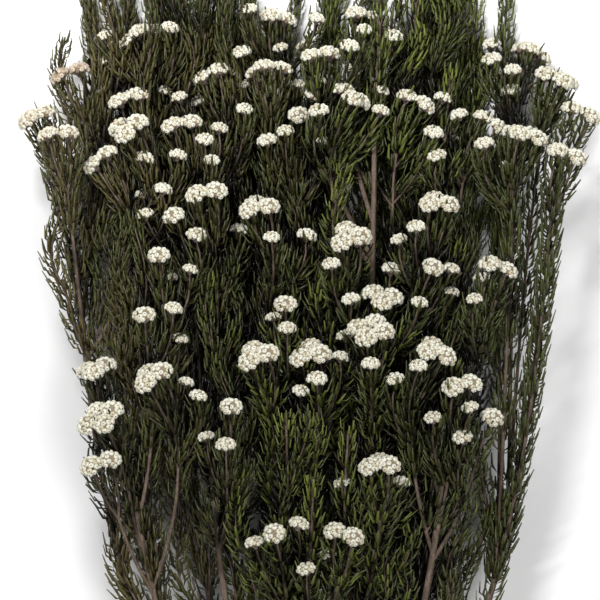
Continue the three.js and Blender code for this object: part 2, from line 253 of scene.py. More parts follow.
def tree_inputs(tree, sockets):
    """The outputs of a tree's group input node, which has these inputs. Each is a kind or a number."""
    for name, value in sockets.items():
        kind = value if isinstance(value, str) else "Int" if isinstance(value, int) else "Float"
        socket = tree.interface.new_socket(name, in_out="INPUT", socket_type="NodeSocket" + kind)
        if kind != value:
            socket.default_value = value
    return tree.nodes.new("NodeGroupInput").outputs


def growth_tree(name, sockets):
    """A geometry tree with named inputs and one output, and the outputs of its group input node."""
    tree = bpy.data.node_groups.new(name, "GeometryNodeTree")
    outputs = tree_inputs(tree, sockets)
    tree.interface.new_socket("Result", in_out="OUTPUT", socket_type="NodeSocketGeometry")
    return tree, outputs


def grown(seed_object, tree, values, spent=()):
    """What a tree grows on an object, as a new object of plain mesh without the spent attributes."""
    modifier = seed_object.modifiers.new("grow", "NODES")
    modifier.node_group = tree
    for item in tree.interface.items_tree:
        if item.name in values and item.in_out == "INPUT":
            modifier[item.identifier] = values[item.name]
    evaluated = seed_object.evaluated_get(bpy.context.evaluated_depsgraph_get())
    mesh = bpy.data.meshes.new_from_object(evaluated)
    name = seed_object.name
    bpy.data.objects.remove(seed_object)
    for attribute in spent:
        mesh.attributes.remove(mesh.attributes[attribute])
    return linked(name, mesh)


def ramp(tree, factor, *stops):
    """A colour that changes with a factor. A stop may give a plain share instead of a colour."""
    node = add(tree, "ShaderNodeValToRGB", {"Fac": factor})
    while len(node.color_ramp.elements) < len(stops):
        node.color_ramp.elements.new(0.5)
    for element, (position, colour) in zip(node.color_ramp.elements, stops):
        element.position = position
        element.color = (*colour, 1) if isinstance(colour, tuple) else (colour, colour, colour, 1)
    return node.outputs["Color"]


def blended(tree, factor, one, other):
    """One colour turning into another by a factor."""
    node = add(tree, "ShaderNodeMix", data_type="RGBA")
    for socket, value in zip((node.inputs[0], node.inputs[6], node.inputs[7]), (factor, one, other)):
        give(tree, socket, value)
    return node.outputs[2]


def value_of(tree, name):
    return add(tree, "ShaderNodeAttribute", attribute_name=name).outputs["Fac"]


def object_place(tree):
    return add(tree, "ShaderNodeTexCoord").outputs["Object"]


def noise(tree, place, scale, detail, **more):
    return result(tree, "ShaderNodeTexNoise", {"Vector": place, "Scale": scale, "Detail": detail, **more})


def new_material(name, settings):
    """A new material, its node tree and its shader, which has these settings."""
    material = bpy.data.materials.new(name)
    material.use_nodes = True
    shader = material.node_tree.nodes["Principled BSDF"]
    for socket, value in settings.items():
        shader.inputs[socket].default_value = value
    return material, material.node_tree, shader


def coat(tree, shader, colour, height, strength, distance):
    """Gives a shader its colour, and relief that is finer than its mesh."""
    give(tree, shader.inputs["Base Color"], colour)
    give(tree, shader.inputs["Normal"], result(
        tree, "ShaderNodeBump", {"Height": height, "Strength": strength, "Distance": distance}))


# Bark is grained along the stem: fine ridges, patches of grey, and dark cracks round the old leaf scars.
grain = bpy.data.node_groups.new("bark_grain", "ShaderNodeTree")
sockets = tree_inputs(grain, {"Ridges per metre": 1400.0})
place = object_place(grain)
stretched = result(grain, "ShaderNodeMapping", {"Vector": place, "Scale": (1, 0.16, 1)})
squashed = result(grain, "ShaderNodeMapping", {"Vector": place, "Scale": (0.45, 1, 0.45)})
marks = {
    "Ridges": noise(grain, stretched, sockets["Ridges per metre"], 5.0, Roughness=0.6),
    "Patches": noise(grain, place, 130.0, 4.0),
    "Scars": result(grain, "ShaderNodeTexVoronoi", {"Vector": squashed, "Scale": 620.0}),
}
for name in marks:
    grain.interface.new_socket(name, in_out="OUTPUT", socket_type="NodeSocketFloat")
add(grain, "NodeGroupOutput", marks)


def bark_material(name, dark, mid, grey, relief, painted_shade_in_crown=False):
    """Bark in three shades. Within the crown it gets painted shade, darker the deeper it lies."""
    material, tree, shader = new_material(name, {"Specular IOR Level": 0.25})
    group = add(tree, "ShaderNodeGroup", node_tree=grain).outputs
    wood = ramp(tree, group["Ridges"], (0.32, dark), (0.52, mid), (0.72, grey))
    wood = blended(tree, maths(tree, "MULTIPLY", group["Patches"], 0.55), wood, grey)
    wood = blended(tree, ramp(tree, group["Scars"], (0.05, 1), (0.22, 0)), wood, dark)
    if painted_shade_in_crown:
        # Painted shade: the wood turns near black deep in the crown, and darker on dull shoots.
        wood = blended(tree, value_of(tree, "inner"), wood, (0.022, 0.016, 0.011))
    give(tree, shader.inputs["Roughness"], maths(tree, "MULTIPLY_ADD", group["Ridges"], 0.3, 0.62))
    coat(tree, shader, wood, maths(tree, "MULTIPLY_ADD", group["Scars"], 0.5, group["Ridges"]), 0.8, relief)
    return material


BARK = bark_material(
    "phylica_bark", (0.045, 0.028, 0.020), (0.120, 0.078, 0.056), (0.230, 0.175, 0.140), 0.0006)


def cut_wood_material():
    """The pale cut face, with growth rings round the middle of the stem and a darker heart."""
    material, tree, shader = new_material("cut_wood", {"Roughness": 0.8})
    heart = (ORIGIN_ACROSS * MM, 0, -(STEM_RADIUS_CUT - SURFACE_PRESS) * MM)
    centred = result(
        tree, "ShaderNodeMapping", {"Vector": object_place(tree), "Location": heart, "Scale": (1, 0, 1)})
    rings = add(tree, "ShaderNodeTexWave", {
        "Vector": centred, "Scale": 260.0, "Distortion": 3.0, "Detail": 3.0},
        wave_type="RINGS", rings_direction="SPHERICAL").outputs["Fac"]
    colour = ramp(tree, rings, (0.2, (0.42, 0.29, 0.17)), (0.8, (0.60, 0.46, 0.30)))
    coat(tree, shader, colour, rings, 0.4, 0.0002)
    return material


def finished(tree, geometry, material):
    """The same geometry, shaded smooth and of one material."""
    smooth = result(tree, "GeometryNodeSetShadeSmooth", {"Geometry": geometry})
    return result(tree, "GeometryNodeSetMaterial", {"Geometry": smooth, "Material": material})


def scaled(tree, vector, scale):
    return result(tree, "ShaderNodeVectorMath", {0: vector, "Scale": scale}, operation="SCALE")


def pressed_on_floor(tree, geometry):
    """The same geometry with whatever dips below the surface pressed flat on it."""
    position = result(tree, "GeometryNodeInputPosition")
    split = add(tree, "ShaderNodeSeparateXYZ", {"Vector": position}).outputs
    height = maths(tree, "MAXIMUM", split["Z"], 0.0)
    pressed = result(tree, "ShaderNodeCombineXYZ", {"X": split["X"], "Y": split["Y"], "Z": height})
    return result(tree, "GeometryNodeSetPosition", {"Geometry": geometry, "Position": pressed})


def bark_relief_tree():
    """Lengthwise ridges, shallow swellings and flat underside, moved along the normals of the wood."""
    tree, sockets = growth_tree("bark_relief", {
        "Wood": "Geometry", "Ridge Height": RIDGE_HEIGHT * MM, "Swelling": SWELLING * MM,
        "Bark": "Material"})
    position = result(tree, "GeometryNodeInputPosition")
    stretched = result(tree, "ShaderNodeVectorMath", {0: position, 1: (1, 0.12, 1)}, operation="MULTIPLY")
    ridges = maths(tree, "SUBTRACT", noise(tree, stretched, 620.0, 3.0), 0.5)
    swelling = maths(tree, "SUBTRACT", noise(tree, position, 70.0, 1.0), 0.5)
    rise = maths(tree, "ADD", maths(tree, "MULTIPLY", ridges, sockets["Ridge Height"]),
                 maths(tree, "MULTIPLY", swelling, sockets["Swelling"]))
    offset = scaled(tree, result(tree, "GeometryNodeInputNormal"), rise)
    moved = result(tree, "GeometryNodeSetPosition", {"Geometry": sockets["Wood"], "Offset": offset})
    pressed = pressed_on_floor(tree, moved)
    add(tree, "NodeGroupOutput", {"Result": finished(tree, pressed, sockets["Bark"])})
    return tree


def branch_radius(height, key):
    """A branch's radius, which swells a little at old side-shoot knots."""
    knot = math.sin(height / KNOT_EVERY * math.pi + key) ** 8
    between_knots = mix(BRANCH_RADIUS_LOW, BRANCH_RADIUS_HIGH, clamp01(height / LEAFY_FROM))
    return between_knots * (1 + KNOT_SWELL * knot)


wood_parts = [wood_tube(lambda h: in_space((0, 0), h), -STEM_BELOW_FORK, MAIN_STEM_TOP, stem_radius)]
for b, branch in enumerate(BRANCHES):
    wood_parts.append(wood_tube(
        lambda h: in_space(branch_at(branch, h), h), branch["leaves"] - BRANCH_SUNK_IN, LEAFY_FROM,
        lambda h: branch_radius(h, b)))
stem = joined_object("woody_stem_bark", wood_parts)
remesh = stem.modifiers.new("one_skin", "REMESH")
remesh.mode = "VOXEL"
remesh.voxel_size = WOOD_VOXEL * MM
smooth = stem.modifiers.new("worn", "SMOOTH")
smooth.iterations = 4
stem = grown(stem, bark_relief_tree(), {"Bark": BARK})
stem.data.materials.append(cut_wood_material())
cut_height = (-STEM_BELOW_FORK - ORIGIN_HEIGHT + CUT_FACE_WITHIN) * MM
for face in stem.data.polygons:
    if face.center.y < cut_height and face.normal.y < CUT_FACE_TURN:
        face.material_index = 1
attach(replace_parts(stem, "woody_stem"), "root")


# Leafy branches: each carries several long upright twigs, and each twig many short side shoots. They are
# one living growth: slim downy wood, closely set all round with narrow, slightly curved needle leaves that
# rise along it in a spiral. The leaves are dark olive, brighter and more upright towards the young tips.
# Deep in the crown the leaves and the wood of the shoots are darkened with painted shade.
CROWN_TOP = 440
LEVEL_STEP = 10
ROOM_ROUNDS = 120
ROOM_GAP = 0.9
ROOM_SMOOTHED = 0.4
SHORTEST_TWIG = (60, 90)
HEAD_RADIUS = 5.5
HEAD_HEIGHT = 5.6
HEAD_SPACING = 8.0
HEADS_FORK_BELOW = 24
HEAD_LEAN_OUT = 0.3
HEAD_NOD = 0.22
HEAD_LIFT_VARIES = 0.8
HEAD_MARGIN = 0.4
HEADS_PARTED_AFTER = 0.8
TWIG_START_VARIES = 50
TWIG_UPRIGHT_AFTER = 0.7
TWIG_TILT = (0.15, 0.75)
LEADER_TILT = 0.1
DEPTH_COUNTS = 1.6
TOWARDS_LIGHT = 0.5
TIP_BEND_LENGTH = 34
LEAF_LENGTH = 8
LEAF_HALF_WIDTH = 0.76
LEAF_SECTIONS = ((0.44, 1.45, 1.0), (0.97, -0.2, 0.45))
LEAF_SPACING = 0.68
LEAF_FOOT_OUT = 0.7
LEAF_SWING = 0.35
LEAN_VARIES = (0.75, 1.35)
LENGTH_VARIES = (1.0, 1.35)
WIDTH_VARIES = (0.85, 1.15)
LEAF_GAP_BELOW_HEAD = 1.5
LEAF_CLEARANCE = 3.2
LEAN_LEAST = 4
LEAN_SHARE = 1.2
YOUNG_TIP = 40
YOUNG_UPRIGHT = 0.3
YOUNG_GREENER = 0.3
YOUNG_SMALLER = 0.25
LEAVES_FADE_IN = 24
BRANCH_RADIUS_END = 1.3
BRANCH_LEAFINESS = 0.75
OLD_SHOOT_GREENER = -0.1
SHOOT_SIDES = 5
SHOOT_RADIUS_FOOT = 1.0
SHOOT_RADIUS_TIP = 0.6
FORKED_SHOOT_RADIUS = 0.7
SLIM_RADIUS = (0.8, 0.4)
STALK_RADIUS = (0.6, 0.45)
SIDE_RADIUS = (0.5, 0.3)
SIDE_EVERY = 14
SIDE_LENGTH = (34, 84)
SIDE_REACH = (4, 24)
LOW_SIDE_EVERY = 12
LOW_SIDE_LENGTH = (50, 110)
LOW_SIDE_REACH = (5, 26)
SIDE_UPRIGHT_AFTER = 0.75
SIDE_GREENER = (-0.15, 0.15)
SIDE_DULL = (0, 0.45)
SIDES_BELOW_LEAVES = 20
LOW_SIDES_BELOW_LEAVES = 12
LOW_SIDES_ABOVE_FORK = 30
SIDES_BELOW_HEADS = 9
SIDES_ABOVE_FOOT = 8
SWAY = 2.8
SWAY_WAVE = (38, 70)
SLIM_SWAY_WAVE = (40, 75)
CLEAR_OF_HEAD = 3
CLEAR_BESIDE_HEAD = 1.5
ROUTE_STEP = 6
GOLDEN_TURN = math.radians(137.5)
SMALL_HEAD_TRIES = 12
SMALL_HEADS_MOST = 2
SMALL_HEADS_MOST_AT_TOP = 3
TOP_HEADS_FROM = 340
SMALL_HEAD_AWAY = (10, 15)
SMALL_HEAD_LIFT = (-17, 5)
SMALL_HEAD_STALK = 30
SMALL_HEAD_CLEAR = (1.4, 1.75)
SHADE_CELL = (7, 14)
SHADE_FROM = 0.5
SHADE_DEEP = 8
INNER_LEAVES_LOST = 0.5
HOLLOW_LEAVES_LOST = 0.75
BARE_BELOW = 0.3

# The crown's edges, as [across at this height, further across for each millimetre up]. They hold the side
# shoots in, and the small heads a little more.
EDGE_FROM = 336
LEFT_EDGE = (-84, -0.22)
RIGHT_EDGE = (95, 0.17)
EDGE_SLACK = 4
HEADS_WITHIN_EDGE = np.array([1.04, 1, 1])

# Slim twigs between the others that bear no heads, each as the branch that it grows from, counted from 0,
# its place across and in depth, the height where it leaves the branch, and the height of its tip.
SLIM_TWIGS = [
    [0, -116, 2, 258, 338], [0, -107, -12, 262, 352], [0, -112, -26, 270, 400], [0, -96, -14, 280, 372],
    [1, -97, -8, 176, 300], [1, -86, -2, 150, 312], [1, -77, 2, 132, 320],
    [2, -92, -34, 250, 424], [2, -70, -40, 240, 430], [2, -60, -30, 230, 424], [2, -50, -42, 220, 420],
    [2, -84, -30, 262, 410], [2, -66, -8, 150, 300], [4, -40, -44, 210, 428], [4, -8, -46, 230, 430],
    [4, 8, -34, 190, 352], [5, 14, 0, 150, 340], [5, 2, -6, 160, 300], [7, 18, -8, 140, 288],
    [9, 66, -6, 120, 300], [9, 58, 12, 112, 250], [10, 74, -12, 104, 240],
    [3, -38, 12, 120, 210], [2, -52, -4, 118, 214], [8, 50, -12, 120, 230],
    [2, -80, -44, 290, 426], [2, -65, -36, 300, 438], [2, -55, -26, 300, 423], [4, -30, -38, 300, 430],
    [6, 12, -44, 330, 427], [6, 24, -36, 330, 438], [7, 26, -34, 170, 384], [8, 40, -44, 190, 400],
    [7, 32, -40, 180, 340], [4, -2, -22, 170, 300], [0, -98, -36, 290, 422], [0, -90, -28, 296, 434],
    [2, -86, -38, 300, 437], [2, -74, -18, 300, 420], [2, -70, -46, 300, 429], [4, -46, -34, 300, 437],
    [4, -36, -20, 300, 421], [6, 31, -42, 330, 435], [8, 42, -30, 300, 424], [8, 56, -46, 300, 438],
    [8, 60, -28, 300, 428], [0, -97, -4, 105, 222], [0, -90, 2, 100, 205], [9, 64, 4, 88, 208],
    [9, 71, 12, 90, 198], [8, 57, -14, 90, 200], [10, 79, -6, 88, 186], [3, -61, 4, 88, 194],
    [1, -91, -6, 180, 336], [2, -86, -16, 150, 344], [1, -84, 0, 160, 318], [1, -80, -8, 130, 262],
    [2, -82, -26, 180, 300],
]

# Hollows that the side shoots leave free, as [across from, to, height from, to, lowest above the surface].
HOLLOWS = [
    [-8, 7, 294, 345, 26], [17, 41, 292, 343, 22], [88, 97, 224, 262, 0], [86, 94, 205, 224, 0],
    [82, 89, 185, 205, 0],
]


def cluster_radius(heads):
    return HEAD_SPACING / 2 / math.sin(math.pi / heads) if heads > 1 else 0.0


class Twig:
    """One upright twig of a branch, with its own route from the branch to its heads."""

    def __init__(self, b, c):
        self.branch = BRANCHES[b]
        self.b = b
        self.key = b * 10 + c
        self.across, self.depth, self.top, self.heads = self.branch["twigs"][c]
        outward = np.array([
            self.across / CROWN_HALF_WIDTH, DEPTH_COUNTS * self.depth / CROWN_HALF_DEPTH + TOWARDS_LIGHT])
        outward /= np.linalg.norm(outward)
        angle = draw(self.key + 0.1, -0.5, 0.5)
        turned = [[math.cos(angle), -math.sin(angle)], [math.sin(angle), math.cos(angle)]]
        self.outward = np.array(turned) @ outward
        lowest = min(self.branch["forks"], self.top - SHORTEST_TWIG[0])
        start = lowest + draw(self.key + 0.2, 0, TWIG_START_VARIES)
        self.start = max(lowest, min(start, self.top - SHORTEST_TWIG[1]))
        self.tilt = draw(self.key + 0.3, *TWIG_TILT) if self.heads else LEADER_TILT
        self.turn = draw(self.key + 0.4, -0.6, 0.6)
        self.shift = np.zeros((CROWN_TOP // LEVEL_STEP + 2, 2))

    def share(self, height):
        return turn_upright((height - self.start) / (TWIG_UPRIGHT_AFTER * (self.top - self.start)))

    def parted(self, height):
        above_fork = height - self.top + HEADS_FORK_BELOW
        return turn_upright(above_fork / (HEADS_PARTED_AFTER * HEADS_FORK_BELOW))

    def unshifted(self, height):
        over = max(0, (height - self.top + TIP_BEND_LENGTH) / TIP_BEND_LENGTH)
        bent = self.tilt * TIP_BEND_LENGTH / 2 * (over ** 2 - 1)
        own = np.array([self.across, self.depth]) * (spread(height) / spread(self.top))
        return own + self.outward * bent

    def at(self, height):
        level = min(height / LEVEL_STEP, len(self.shift) - 1.001)
        low = math.floor(level)
        own = self.unshifted(height) + mix(self.shift[low], self.shift[low + 1], level - low)
        return mix(branch_at(self.branch, height), own, self.share(height))

    def reach(self, height):
        beside_heads = self.heads and self.top - height < 1.5 * LEVEL_STEP
        leaf_reach = 0.7 + LEAF_LENGTH * math.sin(math.radians(self.branch["lean"]))
        own = HEAD_RADIUS + HEAD_MARGIN if beside_heads else leaf_reach
        return cluster_radius(self.heads) * self.parted(height) + own

    def near_heads(self, height):
        return self.heads > 0 and abs(self.top - height) < 1.6 * LEVEL_STEP


def room_at(twigs, level):
    """What the room between the twigs at one level depends on, worked out once for all rounds."""
    height = level * LEVEL_STEP
    here = [i for i, twig in enumerate(twigs) if twig.start <= height <= twig.top + LEVEL_STEP]
    standing = [twigs[i] for i in here]
    over = np.array([twig.share(height) for twig in standing])
    reach = np.array([twig.reach(height) for twig in standing])
    branch = np.array([twig.b for twig in standing])
    heads = np.array([twig.near_heads(height) for twig in standing], dtype=bool)
    eased = (branch[:, None] == branch) & ~(heads[:, None] | heads)
    factor = np.where(eased, over[:, None] * over, 1)
    base = np.array([mix(branch_at(twig.branch, height), twig.unshifted(height), o)
                     for twig, o in zip(standing, over)])
    needed = (reach[:, None] + reach + ROOM_GAP) * factor
    lowest = reach - SURFACE_PRESS - axis_depth(height)
    return dict(here=here, over=over[:, None], base=base, needed=needed, lowest=lowest)


def make_room(twigs):
    """Pushes apart what is too close, lifts what is under the surface, and smooths the routes."""
    shift = np.array([twig.shift for twig in twigs])
    levels = shift.shape[1]
    lowest = math.ceil(min(twig.start for twig in twigs) / LEVEL_STEP)
    highest = max(twig.top for twig in twigs) // LEVEL_STEP + 1
    rooms = {level: room_at(twigs, level) for level in range(lowest, highest + 1)}
    below, above = np.maximum(np.arange(levels) - 1, 0), np.minimum(np.arange(levels) + 1, levels - 1)
    for _ in range(ROOM_ROUNDS):
        for level, room in rooms.items():
            here = room["here"]
            at = room["base"] + room["over"] * shift[here, level]
            away = at[None] - at[:, None]
            apart = np.hypot(away[..., 0], away[..., 1]) + 1e-6
            lack = np.maximum(room["needed"] - apart, 0)
            np.fill_diagonal(lack, 0)
            pushed = -0.5 * (lack / apart)[..., None] * away
            moves = pushed.sum(axis=1) / np.maximum(0.35, room["over"])
            moves[:, 1] += 0.6 * np.maximum(room["lowest"] - at[:, 1], 0)
            shift[here, level] += moves
        shift = (1 - ROOM_SMOOTHED) * shift + ROOM_SMOOTHED / 2 * (shift[:, below] + shift[:, above])
    for twig, own in zip(twigs, shift):
        twig.shift = own


twigs = [Twig(b, c) for b, branch in enumerate(BRANCHES) for c in range(len(branch["twigs"]))]
make_room(twigs)


def cluster_of(twig):
    """The middle of a twig's cluster, and the offset, direction and turn of each head on it."""
    middle, along, side, up = frame_on(lambda h: in_space(twig.at(h), h), twig.top)
    count = max(1, twig.heads)
    seats = []
    for i in range(count):
        angle = twig.turn + 2 * math.pi * i / count
        radial = math.cos(angle) * side + math.sin(angle) * up
        lift = draw(twig.key + i / 3, -HEAD_LIFT_VARIES, HEAD_LIFT_VARIES) if count > 1 else 0
        direction = along + radial * (HEAD_LEAN_OUT if count > 1 else 0) + HEAD_NOD * np.array([0, 0, 1])
        seats.append(dict(
            offset=cluster_radius(count) * radial + lift * along,
            direction=direction / np.linalg.norm(direction),
            turned=angle))
    return middle, seats


def shoot_line(route, start, end, radii, leafy, branch, greener=0.0, young_tip=0.0, dull=0.0):
    """Points along a shoot, with its direction, its radius and how leafy, leaning, green and dull it is."""
    count = max(2, round((end - start) / ROUTE_STEP))
    line = []
    for i in range(count + 1):
        height = mix(start, end, i / count)
        point, along = frame_on(route, height)[:2]
        young = clamp01((height - end) / YOUNG_TIP + 1) * young_tip
        line.append(dict(
            point=point, along=along, radius=mix(*radii, i / count), leafy=leafy(height),
            lean=LEAN_LEAST + LEAN_SHARE * branch["lean"] * (1 - YOUNG_UPRIGHT * young),
            green=branch["green"] + greener + YOUNG_GREENER * young, size=1 - YOUNG_SMALLER * young,
            inner=dull))
    return line


heads_in_space = []
for twig in twigs:
    middle, seats = cluster_of(twig)
    for seat in seats[:twig.heads]:
        heads_in_space.append(middle + seat["offset"] + 0.5 * HEAD_HEIGHT * seat["direction"])


def beyond_the_edges(points):
    """Which of the points lie outside the crown, which widens upwards on both sides."""
    risen = points[:, 1] + ORIGIN_HEIGHT - EDGE_FROM
    left, right = (edge[0] + edge[1] * risen for edge in (LEFT_EDGE, RIGHT_EDGE))
    across = points[:, 0]
    return (across < left) | (across > right) | (np.abs(across) > CROWN_HALF_WIDTH + EDGE_SLACK)


def has_room(place):
    """Whether a small head stands clear of the others, also as seen from above, and in the box."""
    away = np.array(heads_in_space) - place
    beside, apart = (HEAD_RADIUS * share for share in SMALL_HEAD_CLEAR)
    clear = np.hypot(away[:, 0], away[:, 1]).min() > beside and np.linalg.norm(away, axis=1).min() > apart
    low, high = (np.array(corner) / MM for corner in cad_box)
    inside = (place > low + HEAD_RADIUS).all() and (place < high - HEAD_RADIUS).all()
    return clear and inside and not beyond_the_edges(place[None] * HEADS_WITHIN_EDGE)[0]


def small_heads_of(twig):
    """Single heads a little way out from a twig's cluster, each on a stalk of its own."""
    most = SMALL_HEADS_MOST_AT_TOP if twig.top > TOP_HEADS_FROM else SMALL_HEADS_MOST
    found = []
    for k in range(SMALL_HEAD_TRIES if twig.heads else 0):
        key = twig.key + 0.031 * k
        angle, away = draw(key + 0.3, 0, 2 * math.pi), draw(key + 0.5, *SMALL_HEAD_AWAY)
        height = twig.top + draw(key + 0.9, *SMALL_HEAD_LIFT)
        out = np.array([math.cos(angle), 0, math.sin(angle)])
        offset = (cluster_radius(twig.heads) + away) * out
        place = in_space(twig.at(height), height) + offset
        if len(found) < most and has_room(place):
            heads_in_space.append(place)
            direction = np.array([0.25 * out[0], 1, 0.25 * out[2] + HEAD_NOD])
            found.append(dict(height=height, offset=offset, place=place, turned=angle, direction=direction))
    return found


for twig in twigs:
    twig.small_heads = small_heads_of(twig)
heads_in_space = np.array(heads_in_space)


def hides_a_head(points):
    """Whether a shoot would run through a flower head, or lie over one as the stem is seen from above."""
    away = points[:, None] - heads_in_space[None]
    beside = np.hypot(away[..., 0], away[..., 1])
    through = np.linalg.norm(away, axis=2) < HEAD_RADIUS + CLEAR_OF_HEAD
    over = (beside < HEAD_RADIUS + CLEAR_BESIDE_HEAD) & (away[..., 2] > 0)
    return bool((through | over).any())


def in_hollows(points):
    """Which of the points lie in one of the hollows of the crown."""
    found = np.zeros(len(points), dtype=bool)
    height = points[:, 1] + ORIGIN_HEIGHT
    for across_from, across_to, height_from, height_to, lowest in HOLLOWS:
        beside = (points[:, 0] > across_from) & (points[:, 0] < across_to) & (points[:, 2] > lowest)
        found |= beside & (height > height_from) & (height < height_to)
    return found


def above_surface(place, height):
    """The same place, lifted where the leaves would otherwise lie under the surface."""
    return np.array([place[0], max(place[1], LEAF_CLEARANCE - axis_depth(height))])


def everywhere(height):
    return 1.0


def side_line(branch, parent_at, k, key, start, length, reach):
    """A side shoot: it leaves its parent at an angle, soon runs up beside it, and sways a little."""
    angle = k * GOLDEN_TURN + draw(key + 0.63, -0.5, 0.5)
    outward = reach * branch.get("tight", 1.0) * np.array([math.cos(angle), math.sin(angle)])
    phase, wave = draw(key + 0.65, 0, 6.28), draw(key + 0.66, *SWAY_WAVE)

    def route(h):
        over = turn_upright((h - start) / (SIDE_UPRIGHT_AFTER * length))
        sway = SWAY * over * math.sin(phase + 2 * math.pi * h / wave)
        return in_space(above_surface(parent_at(h) + outward * over + np.array([sway, 0.6 * sway]), h), h)

    line = shoot_line(
        route, start, start + length, SIDE_RADIUS, everywhere, branch, young_tip=1.0,
        greener=draw(key + 0.64, *SIDE_GREENER), dull=draw(key + 0.67, *SIDE_DULL))
    points = np.array([p["point"] for p in line])
    left_out = beyond_the_edges(points).any() or in_hollows(points).any() or hides_a_head(points)
    return [] if left_out else [line]


def side_lines(branch, parent_at, keys, first, every, lengths, reaches, highest=math.inf):
    """Side shoots at even steps along a parent, each a little out of step, up to the highest point."""
    lines = []
    for k, (start_key, key) in enumerate(keys):
        start = first + (k + draw(start_key, 0.1, 0.9)) * every
        length = min(draw(key + 0.61, *lengths), highest - start)
        lines += side_line(branch, parent_at, k, key, start, length, draw(key + 0.62, *reaches))
    return lines


def twig_side_lines(twig):
    """The side shoots of a twig, from a little above its foot to just below its heads."""
    first = max(twig.branch["leafy_from"] - SIDES_BELOW_LEAVES, twig.start)
    highest = twig.top - (SIDES_BELOW_HEADS if twig.heads else 0)
    count = int((highest - SIDE_LENGTH[0] - first) / SIDE_EVERY)
    keys = [(twig.key + 0.71 * k, twig.key + 0.013 * k) for k in range(count)]
    return side_lines(twig.branch, twig.at, keys, first, SIDE_EVERY, SIDE_LENGTH, SIDE_REACH, highest)


def stalk_line(twig, head):
    """The stalk of a small head, from the twig below its cluster."""
    foot = head["height"] - SMALL_HEAD_STALK
    return shoot_line(
        lambda h: in_space(twig.at(h), h) + turn_upright((h - foot) / SMALL_HEAD_STALK) * head["offset"],
        foot, head["height"], STALK_RADIUS, lambda h: h < head["height"] - LEAF_GAP_BELOW_HEAD, twig.branch)


def slim_twig_lines(n, b, across, depth, foot, top):
    """A slim twig without heads, with its side shoots."""
    branch, wave = BRANCHES[b], draw(n + 0.6, *SLIM_SWAY_WAVE)

    def at(h):
        over = turn_upright((h - foot) / (TWIG_UPRIGHT_AFTER * (top - foot)))
        sway = SWAY * over * math.sin(draw(n + 0.4, 0, 6.28) + 2 * math.pi * h / wave)
        own = np.array([across, depth]) * (spread(h) / spread(top)) + np.array([sway, 0.5 * sway])
        return above_surface(mix(branch_at(branch, h), own, over), h)

    twig = shoot_line(lambda h: in_space(at(h), h), foot, top, SLIM_RADIUS, everywhere, branch,
                      greener=OLD_SHOOT_GREENER, young_tip=1.0)
    keys = [(200 + n + 0.013 * k,) * 2 for k in range(int((top - foot - SIDE_LENGTH[0]) / SIDE_EVERY))]
    first = foot + SIDES_ABOVE_FOOT
    return [twig] + side_lines(branch, at, keys, first, SIDE_EVERY, SIDE_LENGTH, SIDE_REACH, top)


def low_side_lines(b, branch, highest):
    """The side shoots of a branch itself, which fill the room between the branches low down."""
    first = branch["leafy_from"] - LOW_SIDES_BELOW_LEAVES
    keys = [(0.37 * b + 0.017 * k + 0.2,) * 2 for k in range(int((highest - first) / LOW_SIDE_EVERY))]
    return side_lines(branch, lambda h: branch_at(branch, h), keys, first, LOW_SIDE_EVERY, LOW_SIDE_LENGTH,
                      LOW_SIDE_REACH)


def head_shoot_lines(twig, leafy):
    """A twig, and the shoots that fork from it below its heads, one to each head."""
    young_tip = 0.0 if twig.heads else 1.0
    leaves_end = twig.top - (LEAF_GAP_BELOW_HEAD if twig.heads else 0)
    stout = SHOOT_RADIUS_FOOT * twig.branch.get("stout", 1.0)
    lines = []
    for i, seat in enumerate(cluster_of(twig)[1]):
        forked = (twig.top - HEADS_FORK_BELOW, FORKED_SHOOT_RADIUS)
        start, foot_radius = forked if i else (twig.start, stout)
        lines.append(shoot_line(
            lambda h: in_space(twig.at(h), h) + twig.parted(h) * seat["offset"],
            start, twig.top - (0 if twig.heads else 1), (foot_radius, SHOOT_RADIUS_TIP),
            lambda h: leafy(h) * (h < leaves_end), twig.branch, young_tip=young_tip))
    return lines


def branch_lines(b, branch):
    """All the shoots of one branch: itself, its twigs, the shoots to each head, and their side shoots."""
    def leafy(h):
        return clamp01((h - branch["leafy_from"]) / LEAVES_FADE_IN)

    own = [twig for twig in twigs if twig.b == b]
    starts = [twig.start for twig in own]
    lines = [shoot_line(
        lambda h: in_space(branch_at(branch, h), h), LEAFY_FROM + JOIN_GAP, max(starts) + 4,
        (BRANCH_RADIUS_HIGH, BRANCH_RADIUS_END), lambda h: BRANCH_LEAFINESS * leafy(h), branch,
        greener=OLD_SHOOT_GREENER)]
    for twig in own:
        lines += head_shoot_lines(twig, leafy)
        lines += twig_side_lines(twig)
        lines += [stalk_line(twig, head) for head in twig.small_heads]
    for n, (parent, *course) in enumerate(SLIM_TWIGS):
        if parent == b:
            lines += slim_twig_lines(n, b, *course)
    return lines + low_side_lines(b, branch, min(starts) + LOW_SIDES_ABOVE_FORK)


def paint_shade_and_thin_within(lines):
    """Marks how deep each point lies in the crown, where it gets painted shade, darker the deeper, and the
    fewest leaves.
    """
    points = [point for line in lines for point in line]
    place = np.array([point["point"] for point in points])
    cell = np.floor(place[:, :2] / SHADE_CELL).astype(int)
    cell = tuple((cell - cell.min(axis=0)).T)
    size = [index.max() + 1 for index in cell]
    front, back = np.full(size, -np.inf), np.full(size, np.inf)
    np.maximum.at(front, cell, place[:, 2])
    np.minimum.at(back, cell, place[:, 2])
    deep = np.minimum(front[cell] - place[:, 2], place[:, 2] - back[cell])
    for point, d, in_hollow in zip(points, deep, in_hollows(place)):
        within = turn_upright(clamp01((d - SHADE_FROM) / SHADE_DEEP))
        lit = in_hollow and point["leafy"] < BARE_BELOW
        # Painted shade: the larger of the depth shade and the shoot's own dullness; bare wood in a hollow
        # stays unshaded.
        point["inner"] = 0.0 if lit else max(point["inner"], within)
        point["leafy"] *= 1 - (HOLLOW_LEAVES_LOST if in_hollow else INNER_LEAVES_LOST * within)


